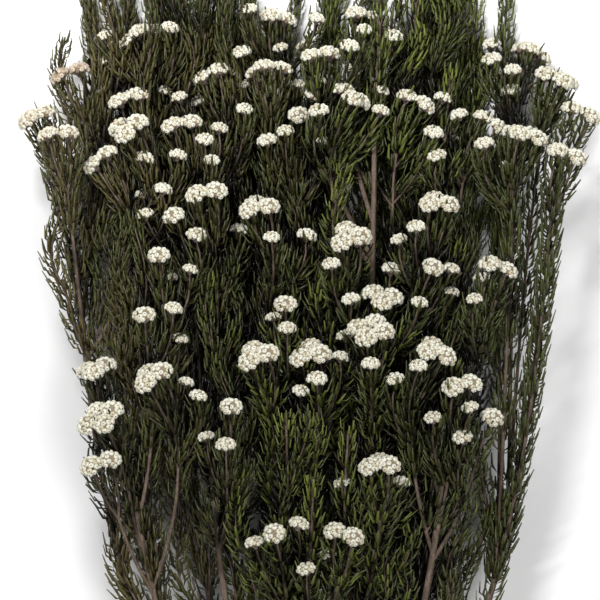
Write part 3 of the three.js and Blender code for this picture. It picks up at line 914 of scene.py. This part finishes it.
def lines_object(name, lines):
    """The shoots as edge chains, with what the leaves and the wood need stored on their points."""
    points, edges = [], []
    for line in lines:
        edges += [(len(points) + i, len(points) + i + 1) for i in range(len(line) - 1)]
        points += line
    made = mesh_object(name, [p["point"] for p in points], [], edges)
    store(made, "radius", [p["radius"] * MM for p in points])
    store(made, "lean", [math.radians(p["lean"]) for p in points])
    for key in ("leafy", "green", "size", "inner"):
        store(made, key, [p[key] for p in points])
    store(made, "along", [p["along"] for p in points], "FLOAT_VECTOR")
    return made


def needle_leaf():
    """One leaf, growing up +Z with its keel to +X: three-sided and blunt, bowed out and then back in."""
    points, on_keel, way_up = [(0, 0, 0)], [0.5], [0]
    for share, out, width in LEAF_SECTIONS:
        half, up = width * LEAF_HALF_WIDTH, share * LEAF_LENGTH
        points += [(out, half, up), (out, -half, up), (out + 0.9 * half, 0, up)]
        on_keel += [0, 0, 1]
        way_up += [share] * 3
    faces = [[4, 5, 6]]
    for side, n in ((0, 1), (1, 2), (2, 0)):
        faces += [[0, 1 + n, 1 + side], [1 + side, 1 + n, 4 + n, 4 + side]]
    leaf = mesh_object("needle_leaf", points, faces)
    store(leaf, "keel", on_keel)
    store(leaf, "way_up", way_up)
    return leaf


def named(tree, name, kind="FLOAT"):
    return add(tree, "GeometryNodeInputNamedAttribute", {"Name": name}, data_type=kind).outputs["Attribute"]


def random_value(tree, low, high, seed):
    return add(tree, "FunctionNodeRandomValue", {2: low, 3: high, "Seed": seed}).outputs[1]


def upright_along(tree, direction):
    """A turn that stands +Z along a stored direction."""
    return result(tree, "FunctionNodeAxesToRotation", {
        "Primary Axis": named(tree, direction, "FLOAT_VECTOR"), "Secondary Axis": (1, 0, 0)},
        primary_axis="Z", secondary_axis="X")


def turned_about(tree, rotation, axis, angle):
    by = result(tree, "FunctionNodeAxisAngleToRotation", {"Axis": axis, "Angle": angle})
    return result(tree, "FunctionNodeRotateRotation", {"Rotation": rotation, "Rotate By": by},
                  rotation_space="LOCAL")


def copies_on(tree, points, of_object, inputs):
    """Copies of an object's mesh standing on points, each to be made real."""
    shape = add(tree, "GeometryNodeObjectInfo", {"Object": of_object}).outputs["Geometry"]
    return result(tree, "GeometryNodeInstanceOnPoints", {"Points": points, "Instance": shape, **inputs})


def made_real(tree, copies, material):
    return finished(tree, result(tree, "GeometryNodeRealizeInstances", {"Geometry": copies}), material)


def stored(tree, geometry, name, value, kind="FLOAT", domain="INSTANCE"):
    return result(tree, "GeometryNodeStoreNamedAttribute", {
        "Geometry": geometry, "Name": name, "Value": value}, data_type=kind, domain=domain)


def joined(tree, *parts):
    both = tree.nodes.new("GeometryNodeJoinGeometry")
    for part in parts:
        tree.links.new(part, both.inputs[0])
    return both.outputs[0]


def leafy_growth_tree():
    """Grows the wood of the shoots and the spiral of leaves on them from edge chains."""
    tree, sockets = growth_tree("leafy_growth", {
        "Shoots": "Geometry", "Leaf": "Object", "Leaf Spacing": LEAF_SPACING * MM,
        "Golden Turn": GOLDEN_TURN, "Wood Sides": SHOOT_SIDES, "Bark": "Material", "Foliage": "Material"})
    curves = result(tree, "GeometryNodeMeshToCurve", {"Mesh": sockets["Shoots"]})
    section = result(tree, "GeometryNodeCurvePrimitiveCircle", {
        "Resolution": sockets["Wood Sides"], "Radius": 1.0})
    wood = result(tree, "GeometryNodeCurveToMesh", {
        "Curve": curves, "Profile Curve": section, "Scale": named(tree, "radius"), "Fill Caps": True})

    seats = result(tree, "GeometryNodeResampleCurve", {
        "Curve": curves, "Length": sockets["Leaf Spacing"]}, mode="LENGTH")
    swing = random_value(tree, -LEAF_SWING, LEAF_SWING, 1)
    index = result(tree, "GeometryNodeInputIndex")
    turn = maths(tree, "MULTIPLY_ADD", index, sockets["Golden Turn"], swing)
    facing = turned_about(tree, upright_along(tree, "along"), (0, 0, 1), turn)
    outward = result(tree, "FunctionNodeRotateVector", {"Vector": (1, 0, 0), "Rotation": facing})
    offset = scaled(tree, outward, maths(tree, "MULTIPLY", named(tree, "radius"), LEAF_FOOT_OUT))
    seats = result(tree, "GeometryNodeSetPosition", {"Geometry": seats, "Offset": offset})
    lean = maths(tree, "MULTIPLY", named(tree, "lean"), random_value(tree, *LEAN_VARIES, 2))
    kept = result(tree, "FunctionNodeCompare", {
        0: random_value(tree, 0, 1, 3), 1: named(tree, "leafy")}, operation="LESS_THAN")
    length = maths(tree, "MULTIPLY", named(tree, "size"), random_value(tree, *LENGTH_VARIES, 4))
    width = maths(tree, "MULTIPLY_ADD", length, 0.5, 0.5)
    width = maths(tree, "MULTIPLY", width, random_value(tree, *WIDTH_VARIES, 5))
    leaves = copies_on(tree, seats, sockets["Leaf"], {
        "Selection": kept, "Rotation": turned_about(tree, facing, (0, 1, 0), lean),
        "Scale": result(tree, "ShaderNodeCombineXYZ", {"X": width, "Y": width, "Z": length})})
    leaves = stored(tree, leaves, "tone", random_value(tree, 0, 1, 6))
    both = joined(tree, made_real(tree, leaves, sockets["Foliage"]), finished(tree, wood, sockets["Bark"]))
    add(tree, "NodeGroupOutput", {"Result": pressed_on_floor(tree, both)})
    return tree


def foliage_material():
    """Leathery leaves: olive to bright green by shoot, each leaf a little different, paler at its foot."""
    material, tree, shader = new_material("phylica_leaves", {"Specular IOR Level": 0.35})
    tone = value_of(tree, "tone")
    green = maths(tree, "ADD", value_of(tree, "green"), maths(tree, "MULTIPLY_ADD", tone, 0.32, -0.16))
    colour = ramp(tree, green, (0.0, (0.115, 0.088, 0.026)), (0.25, (0.058, 0.055, 0.014)),
                  (0.6, (0.056, 0.070, 0.014)), (1.0, (0.158, 0.186, 0.028)))
    foot = ramp(tree, value_of(tree, "way_up"), (0.0, 1), (0.3, 0))
    colour = blended(tree, foot, colour, (0.110, 0.085, 0.045))
    # Pale margins: partly the leaf's own pale rolled edge, partly a painted highlight along the edges.
    pale_margin_and_highlight = ramp(tree, value_of(tree, "keel"), (0.0, 0.5), (0.3, 0))
    colour = blended(tree, pale_margin_and_highlight, colour, (0.17, 0.18, 0.08))
    colour = blended(tree, ramp(tree, tone, (0.0, 0.5), (0.55, 0)), colour, (0.012, 0.011, 0.005))
    # Painted shade: leaves turn near black deep in the crown, and darker on dull shoots.
    colour = blended(tree, value_of(tree, "inner"), colour, (0.007, 0.006, 0.003))
    mottle = noise(tree, object_place(tree), 1500.0, 3.0)
    give(tree, shader.inputs["Roughness"], maths(tree, "MULTIPLY_ADD", mottle, 0.3, 0.24))
    coat(tree, shader, colour, mottle, 0.35, 0.0002)
    return material


SHOOT_BARK = bark_material(
    "phylica_shoot_bark", (0.042, 0.028, 0.020), (0.110, 0.074, 0.053), (0.235, 0.180, 0.140), 0.0003, True)
FOLIAGE = foliage_material()
leaf = needle_leaf()
growth = leafy_growth_tree()
shoots = [branch_lines(b, branch) for b, branch in enumerate(BRANCHES)]
paint_shade_and_thin_within([line for lines in shoots for line in lines])
for b, lines in enumerate(shoots):
    foliage = grown(
        lines_object(f"leafy_branch_{b + 1:02d}_foliage", lines), growth,
        {"Leaf": leaf, "Bark": SHOOT_BARK, "Foliage": FOLIAGE}, spent=("leafy", "lean", "size", "along"))
    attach(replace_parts(foliage, f"leafy_branch_{b + 1:02d}"), "root")
bpy.data.objects.remove(leaf)


# Flower heads: one to four domes to a cluster, and small single heads beside it, each of two dozen white
# felted florets packed in a spiral, with a dark pit in each, on a cup of short brown felted bracts. The
# heads of a cluster grow from one twig and touch. Most are cream white, and the oldest have browned.
FLORETS = 24
FLORET_RADIUS = 1.36
FLORET_TILT = 0.86
FLORET_SIZE_VARIES = (0.86, 1.1)
BRACTS = 9
BRACT_REACH = 5.4
CUP_SIDES = 10
DOME_INSIDE_HEAD = 0.7
DOME_HEIGHT = 3.4
DOME_FOOT = 2.1
DOME_ANGLE = 96
SMALL_HEAD_SIZE = (0.72, 0.95)
BROWNED = 0.04
BROWNED_TWIGS = {0: 0.9, 1: 0.25, 2: 0.2}


def floret():
    """One floret, opening up +Z: a short felted cup with five round lobes and a pit in the middle."""
    points = []
    rings = ((5, 0.5, 0.5, -1.5), (10, 1.0, 0.9, -0.35), (5, 0.36, 0.36, 0.4), (1, 0, 0, -0.3))
    for corners, r, notch, z in rings:
        for s in range(corners):
            angle = 2 * math.pi * s / corners
            across = FLORET_RADIUS * (r if s % 2 == 0 else notch)
            points.append((across * math.cos(angle), across * math.sin(angle), z))
    faces = [[4, 3, 2, 1, 0]]
    for i in range(5):
        n = (i + 1) % 5
        foot, next_foot, top, next_top = i, n, 15 + i, 15 + n
        lobe, notch, next_lobe = 5 + 2 * i, 6 + 2 * i, 5 + 2 * n
        faces += [[foot, next_foot, notch], [foot, notch, lobe], [next_foot, next_lobe, notch],
                  [lobe, notch, top], [notch, next_lobe, next_top], [notch, next_top, top],
                  [top, next_top, 20]]
    made = mesh_object("floret", points, faces)
    store(made, "pit", [0.2] * 5 + [0.0] * 15 + [1.0])
    return made


def one_bract(angle, tip_height):
    """One pointed bract, three-sided, from the foot of the cup out to its tip."""
    out = np.array([math.cos(angle), math.sin(angle), 0])
    across = np.array([-math.sin(angle), math.cos(angle), 0])
    up = np.array([0, 0, 1])
    points = []
    for r, z, half in ((1.4, 0.0, 0.5), (3.7, 0.9, 0.8)):
        rim = out * r + up * z
        points += [rim - across * half, rim + across * half, out * (r - 0.3) + up * (z + 0.45)]
    faces = []
    for side, n in ((0, 1), (1, 2), (2, 0)):
        faces += [[side, n, 3 + n, 3 + side], [3 + side, 3 + n, 6]]
    return points + [out * BRACT_REACH + up * tip_height], faces + [[2, 1, 0]]


def bract_cup():
    """The cone under a head with its dome of felt, and a ring of short pointed bracts round it."""
    points, faces, felted = [], [], []
    rings = ((0.7, -1.2, 0), (1.6, 0.2, 0), (3.6, 1.2, 0), (4.4, 2.4, 0.4), (3.6, 3.9, 1), (1.2, 4.9, 1))
    for r, z, felt in rings:
        turns = [2 * math.pi * s / CUP_SIDES for s in range(CUP_SIDES)]
        points += [(r * math.cos(turn), r * math.sin(turn), z) for turn in turns]
        felted += [felt] * CUP_SIDES
    last = CUP_SIDES * (len(rings) - 1)
    for ring in range(0, last, CUP_SIDES):
        for s in range(CUP_SIDES):
            n = (s + 1) % CUP_SIDES
            faces.append([ring + s, ring + n, ring + CUP_SIDES + n, ring + CUP_SIDES + s])
    faces += [list(reversed(range(CUP_SIDES))), [last + s for s in range(CUP_SIDES)]]
    parts = [(points, faces)]
    for i in range(BRACTS):
        parts.append(one_bract(2 * math.pi * i / BRACTS, 2.7 + 0.3 * (i % 2)))
        felted += [0.1] * 6 + [0.5]
    made = joined_object("bract_cup", parts)
    store(made, "felted", felted)
    return made


def flower_cluster_tree():
    """Sets florets in a spiral over the dome of each head, on its cup of bracts."""
    tree, sockets = growth_tree("flower_cluster", {
        "Heads": "Geometry", "Floret": "Object", "Bract Cup": "Object", "Florets": FLORETS,
        "Dome Radius": (HEAD_RADIUS - DOME_INSIDE_HEAD) * MM, "Dome Height": DOME_HEIGHT * MM,
        "Dome Foot": DOME_FOOT * MM, "Dome Angle": math.radians(DOME_ANGLE), "Golden Turn": GOLDEN_TURN,
        "Felt": "Material", "Petals": "Material"})
    heads = result(tree, "GeometryNodeMeshToPoints", {"Mesh": sockets["Heads"]})
    head_turn = turned_about(tree, upright_along(tree, "direction"), (0, 0, 1), named(tree, "turned"))
    size = named(tree, "head_size")
    cups = copies_on(tree, heads, sockets["Bract Cup"], {"Rotation": head_turn, "Scale": size})

    seats = add(tree, "GeometryNodeDuplicateElements", {
        "Geometry": heads, "Amount": sockets["Florets"]}, domain="POINT").outputs
    step = maths(tree, "ADD", seats["Duplicate Index"], 0.6)
    share_out = maths(tree, "SQRT", maths(tree, "DIVIDE", step, sockets["Florets"]))
    from_top = maths(tree, "MULTIPLY", share_out, sockets["Dome Angle"])
    from_top = maths(tree, "ADD", from_top, random_value(tree, -0.07, 0.07, 11))
    turn = maths(tree, "MULTIPLY_ADD", step, sockets["Golden Turn"], random_value(tree, -0.12, 0.12, 12))
    about = turned_about(tree, head_turn, (0, 0, 1), turn)
    height = maths(tree, "MULTIPLY_ADD", maths(tree, "COSINE", from_top), sockets["Dome Height"],
                   sockets["Dome Foot"])
    on_dome = result(tree, "ShaderNodeCombineXYZ", {
        "X": maths(tree, "MULTIPLY", maths(tree, "SINE", from_top), sockets["Dome Radius"]), "Z": height})
    offset = result(tree, "FunctionNodeRotateVector", {
        "Vector": scaled(tree, on_dome, size), "Rotation": about})
    tilted = turned_about(tree, about, (0, 1, 0), maths(tree, "MULTIPLY", from_top, FLORET_TILT))
    placed = stored(tree, seats["Geometry"], "offset", offset, "FLOAT_VECTOR", "POINT")
    placed = stored(tree, placed, "facing", tilted, "QUATERNION", "POINT")
    placed = result(tree, "GeometryNodeSetPosition", {
        "Geometry": placed, "Offset": named(tree, "offset", "FLOAT_VECTOR")})
    florets = copies_on(tree, placed, sockets["Floret"], {
        "Rotation": named(tree, "facing", "QUATERNION"),
        "Scale": maths(tree, "MULTIPLY", size, random_value(tree, *FLORET_SIZE_VARIES, 13))})
    florets = stored(tree, florets, "tone", random_value(tree, 0, 1, 14))
    both = joined(tree, made_real(tree, florets, sockets["Petals"]), made_real(tree, cups, sockets["Felt"]))
    add(tree, "NodeGroupOutput", {"Result": both})
    return tree


def petals_material():
    """Felted cream florets with a brown pit. Browned heads are tan, and single florets have darkened."""
    material, tree, shader = new_material("phylica_florets", {"Roughness": 0.85, "Sheen Weight": 0.3})
    fresh = ramp(tree, value_of(tree, "tone"), (0.0, (0.57, 0.52, 0.37)), (0.3, (0.72, 0.70, 0.555)),
                 (1.0, (0.78, 0.775, 0.665)))
    aged = ramp(tree, value_of(tree, "tone"), (0.0, (0.34, 0.23, 0.15)), (1.0, (0.62, 0.52, 0.40)))
    colour = blended(tree, value_of(tree, "browned"), fresh, aged)
    pit = ramp(tree, value_of(tree, "pit"), (0.12, 0), (0.55, 0.95))
    colour = blended(tree, pit, colour, (0.045, 0.026, 0.014))
    coat(tree, shader, colour, noise(tree, object_place(tree), 2600.0, 4.0), 0.5, 0.0002)
    return material


def bract_material():
    """Short tan to brown felt on the bracts and between the florets."""
    material, tree, shader = new_material("phylica_bracts", {"Roughness": 0.9, "Sheen Weight": 0.3})
    felt = noise(tree, object_place(tree), 1700.0, 5.0)
    colour = ramp(tree, felt, (0.3, (0.085, 0.050, 0.028)), (0.5, (0.21, 0.135, 0.080)),
                  (0.7, (0.42, 0.33, 0.22)))
    colour = blended(tree, value_of(tree, "felted"), colour, (0.24, 0.19, 0.125))
    coat(tree, shader, colour, felt, 0.6, 0.0003)
    return material


PETALS = petals_material()
BRACT_FELT = bract_material()
bud, cup = floret(), bract_cup()
cluster_tree = flower_cluster_tree()


def heads_object(name, twig):
    """The feet of a cluster's heads as points, with each head's direction, turn, size and age."""
    middle, seats = cluster_of(twig)
    heads = seats + twig.small_heads
    feet = [middle + seat["offset"] for seat in seats] + [head["place"] for head in twig.small_heads]
    sizes = [draw(twig.key + i + 0.7, 0.97, 1.06) for i in range(len(seats))]
    sizes += [draw(twig.key + i + 0.75, *SMALL_HEAD_SIZE) for i in range(len(twig.small_heads))]
    browned = BROWNED_TWIGS.get(twig.key, BROWNED)
    made = mesh_object(name, feet, [])
    store(made, "turned", [head["turned"] for head in heads])
    store(made, "head_size", sizes)
    store(made, "browned", [browned + draw(twig.key + i + 0.8, 0, 0.12) for i in range(len(heads))])
    store(made, "direction", [head["direction"] for head in heads], "FLOAT_VECTOR")
    return made


for i, twig in enumerate([twig for twig in twigs if twig.heads]):
    cluster = grown(
        heads_object(f"flower_cluster_{i + 1:02d}_florets", twig), cluster_tree,
        {"Floret": bud, "Bract Cup": cup, "Felt": BRACT_FELT, "Petals": PETALS},
        spent=("turned", "head_size", "direction", "offset", "facing"))
    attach(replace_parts(cluster, f"flower_cluster_{i + 1:02d}"), "root")
bpy.data.objects.remove(bud)
bpy.data.objects.remove(cup)


# Floor, light and camera: the stem lies on a plain pale floor under two soft lamps, and the camera looks
# straight down on it, framed on the crown as the photograph is.
FRAMED_WIDTH = 270
VIEW_ACROSS = -3.6
VIEW_HEIGHT = 283
CAMERA_ABOVE = 1.7
SENSOR = 36
FLOOR_HALF = 4000

corners = ((-1, -1), (1, -1), (1, 1), (-1, 1))
floor = mesh_object("floor", [(x * FLOOR_HALF, y * FLOOR_HALF, 0) for x, y in corners], [[0, 1, 2, 3]])
pale = new_material("pale_floor", {"Base Color": (0.92, 0.92, 0.92, 1), "Roughness": 0.9})[0]
floor.data.materials.append(pale)


def soft_lamp(name, place, size, energy):
    """A square lamp that faces the middle of the stem."""
    lamp = bpy.data.lights.new(name, "AREA")
    lamp.size = size
    lamp.energy = energy
    made = linked(name, lamp)
    made.location = place
    aim = -np.array(place)
    made.rotation_euler = (math.atan2(math.hypot(aim[0], aim[1]), -aim[2]), 0, math.atan2(aim[0], -aim[1]))


soft_lamp("key_lamp", (-0.55, 1.15, 1.55), 0.7, 150)
soft_lamp("fill_lamp", (0.75, -0.3, 1.8), 1.2, 34)
world = bpy.data.worlds.new("studio")
world.use_nodes = True
world.node_tree.nodes["Background"].inputs["Color"].default_value = (1, 1, 1, 1)
world.node_tree.nodes["Background"].inputs["Strength"].default_value = 0.06
bpy.context.scene.world = world
bpy.context.scene.view_settings.view_transform = "Standard"

lens = bpy.data.cameras.new("camera")
lens.sensor_width = SENSOR
lens.sensor_height = SENSOR
lens.lens = SENSOR * (CAMERA_ABOVE - CROWN_HALF_DEPTH * MM) / (FRAMED_WIDTH * MM)
camera = linked("camera", lens)
camera.location = ((VIEW_ACROSS - ORIGIN_ACROSS) * MM, (VIEW_HEIGHT - ORIGIN_HEIGHT) * MM, CAMERA_ABOVE)
bpy.context.scene.camera = camera
